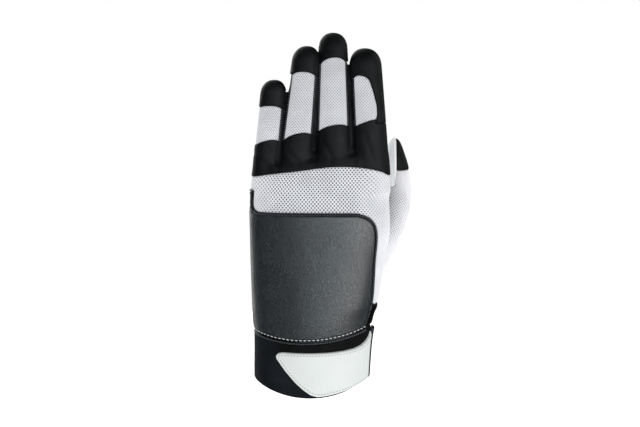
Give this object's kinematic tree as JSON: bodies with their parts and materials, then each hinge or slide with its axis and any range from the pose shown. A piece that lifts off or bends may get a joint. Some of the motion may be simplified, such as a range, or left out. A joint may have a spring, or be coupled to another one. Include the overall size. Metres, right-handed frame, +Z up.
{
  "type": "pickleball glove",
  "caption": "Left-hand racquet-sport glove with mesh back and fingers, leather palm, fingertips and knuckle band, a padded back panel and a hook-and-loop wrist tab.",
  "frame": {"origin": "in the cuff's mouth on the hand's centre line, level with the lowest point of the rim, where the hand goes in", "axes": "+Z up the fingers, -Y out of the back of the hand, +X towards the thumb"},
  "size_m": [0.1075, 0.0725, 0.2335],
  "materials": {
    "white_mesh": "pierced knit mesh, matt",
    "black_leather": "smooth, low sheen",
    "palm_leather": "fine grain, soft sheen",
    "panel_leather": "satin charcoal, fine grain",
    "white_leather": "smooth, satin",
    "cuff_cloth": "smooth elastic cloth, soft sheen",
    "binding": "rolled and whip-stitched, glossy"
  },
  "bodies": {
    "root": {"cuff": "cuff_cloth", "closure_tab": "white_leather", "tab_anchor": "binding", "vent_binding": "binding", "wrist_binding": "binding", "thumb_patch": "black_leather", "thumb_strip": "white_leather", "padded_panel": "panel_leather", "panel_piping": "binding", "knuckle_band": "black_leather", "back_mesh": "white_mesh", "thumb_mesh": "white_mesh", "thumb_palm": "palm_leather", "little_mesh": "white_mesh", "little_cap": "black_leather", "ring_mesh": "white_mesh", "ring_cap": "black_leather", "middle_mesh": "white_mesh", "middle_cap": "black_leather", "index_mesh": "white_mesh", "index_cap": "black_leather", "little_ring_gusset": "palm_leather", "ring_middle_gusset": "palm_leather", "middle_index_gusset": "palm_leather", "palm_leather": "palm_leather"}
  },
  "joints": []
}
